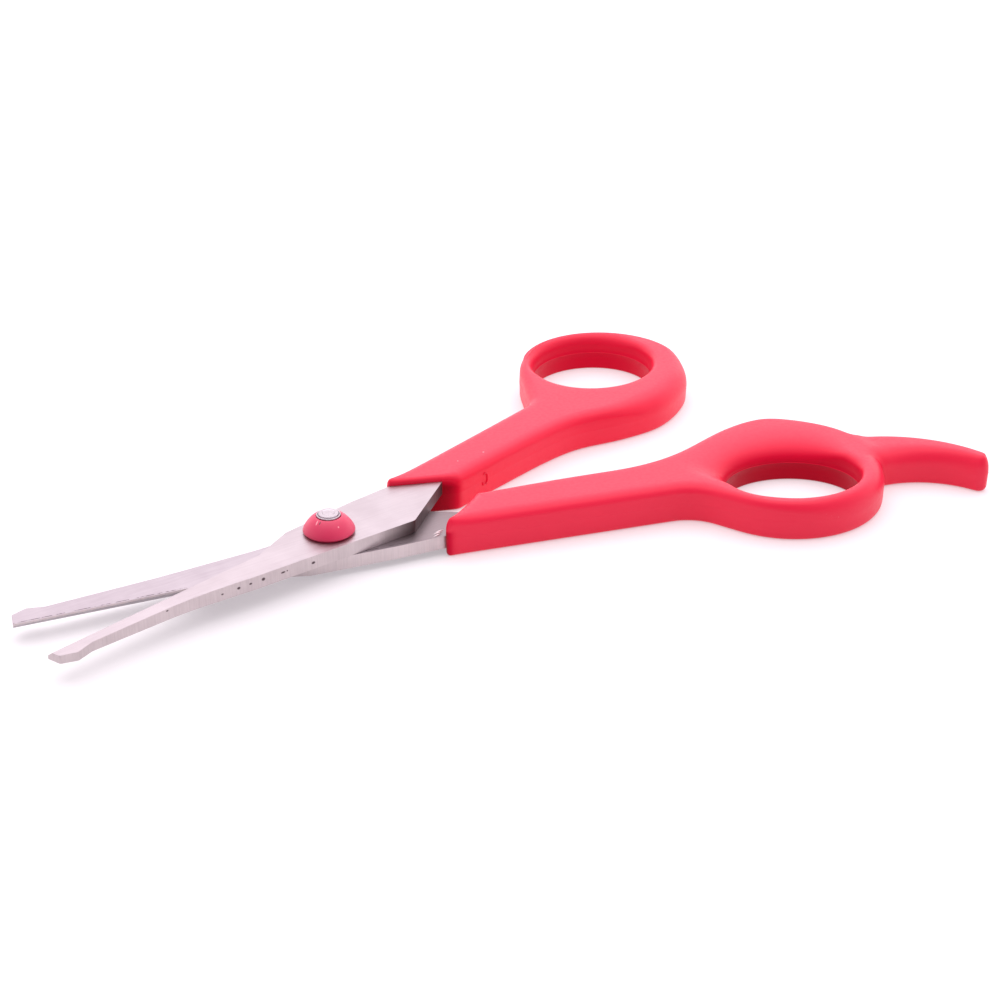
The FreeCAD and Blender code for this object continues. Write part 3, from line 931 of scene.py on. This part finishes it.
FLOOR_REACH = 4.0
FLOOR_DARK, FLOOR_LIGHT = (0.56, 0.56, 0.56), (0.58, 0.58, 0.58)
FLOOR_GLOW = 0.40                     # the clipper lies on a light table
STUDIO_TINT = (1.0, 0.93, 0.98)
OVERHEAD_SIZE = 1.5
OVERHEAD_PLACE = VIEW_TARGET + AWAY * 0.15 + Vector((0, 0, 0.9))
OVERHEAD_POWER = 8.0


def floor():
    """Pale table top that gives off some light of its own."""
    bm = bmesh.new()
    bmesh.ops.create_grid(bm, x_segments=8, y_segments=8, size=FLOOR_REACH)
    mesh = bpy.data.meshes.new("floor")
    bm.to_mesh(mesh)
    bm.free()
    made, nodes, links, shader, place = material("floor_paper")
    shade = noise(nodes, links, place, (1, 1, 1), 30, 2)
    links.new(blend_colours(nodes, links, shade, FLOOR_DARK, FLOOR_LIGHT), shader.inputs["Base Color"])
    shader.inputs["Roughness"].default_value = 0.7
    shader.inputs["Specular IOR Level"].default_value = 0.2
    shader.inputs["Emission Color"].default_value = (*STUDIO_TINT, 1)
    shader.inputs["Emission Strength"].default_value = FLOOR_GLOW
    mesh.materials.append(made)
    obj = bpy.data.objects.new("floor", mesh)
    bpy.context.scene.collection.objects.link(obj)


def softbox(name, place, size, power):
    """A square area light at a place, aimed at the middle of the object."""
    light = bpy.data.lights.new(name, "AREA")
    light.shape = "SQUARE"
    light.size = size
    light.energy = power
    light.color = STUDIO_TINT
    obj = bpy.data.objects.new(name, light)
    bpy.context.scene.collection.objects.link(obj)
    obj.location = place
    obj.rotation_euler = (VIEW_TARGET - Vector(place)).to_track_quat("-Z", "Y").to_euler()


def camera():
    """Camera at the photo's viewing angle, looking at a point on the floor."""
    data = bpy.data.cameras.new("camera")
    data.sensor_width = VIEW_SENSOR
    data.lens = VIEW_LENS
    data.clip_start, data.clip_end = 0.01, 20
    obj = bpy.data.objects.new("camera", data)
    bpy.context.scene.collection.objects.link(obj)
    level_part = math.cos(VIEW_ELEVATION)
    back = Vector((
        math.sin(VIEW_AZIMUTH) * level_part,
        -math.cos(VIEW_AZIMUTH) * level_part,
        math.sin(VIEW_ELEVATION),
    ))
    obj.location = VIEW_TARGET + back * VIEW_DISTANCE
    obj.rotation_euler = (-back).to_track_quat("-Z", "Y").to_euler()
    bpy.context.scene.camera = obj


def world(front, back):
    """Plain surroundings, of one strength in front of the object and another behind it."""
    made = bpy.data.worlds.new("studio")
    made.use_nodes = True
    nodes, links = made.node_tree.nodes, made.node_tree.links
    direction = nodes.new("ShaderNodeTexCoord").outputs["Generated"]
    along = nodes.new("ShaderNodeVectorMath")
    along.operation = "DOT_PRODUCT"
    along.inputs[1].default_value = AWAY
    links.new(direction, along.inputs[0])
    background = nodes["Background"]
    background.inputs["Color"].default_value = (*STUDIO_TINT, 1)
    strength = spread(nodes, links, along.outputs["Value"], -1, 1, front, back)
    links.new(strength, background.inputs["Strength"])
    bpy.context.scene.world = made


floor()
camera()
world(front=0.22, back=1.85)
softbox("overhead", OVERHEAD_PLACE, OVERHEAD_SIZE, OVERHEAD_POWER)
bpy.context.scene.view_settings.view_transform = "Standard"
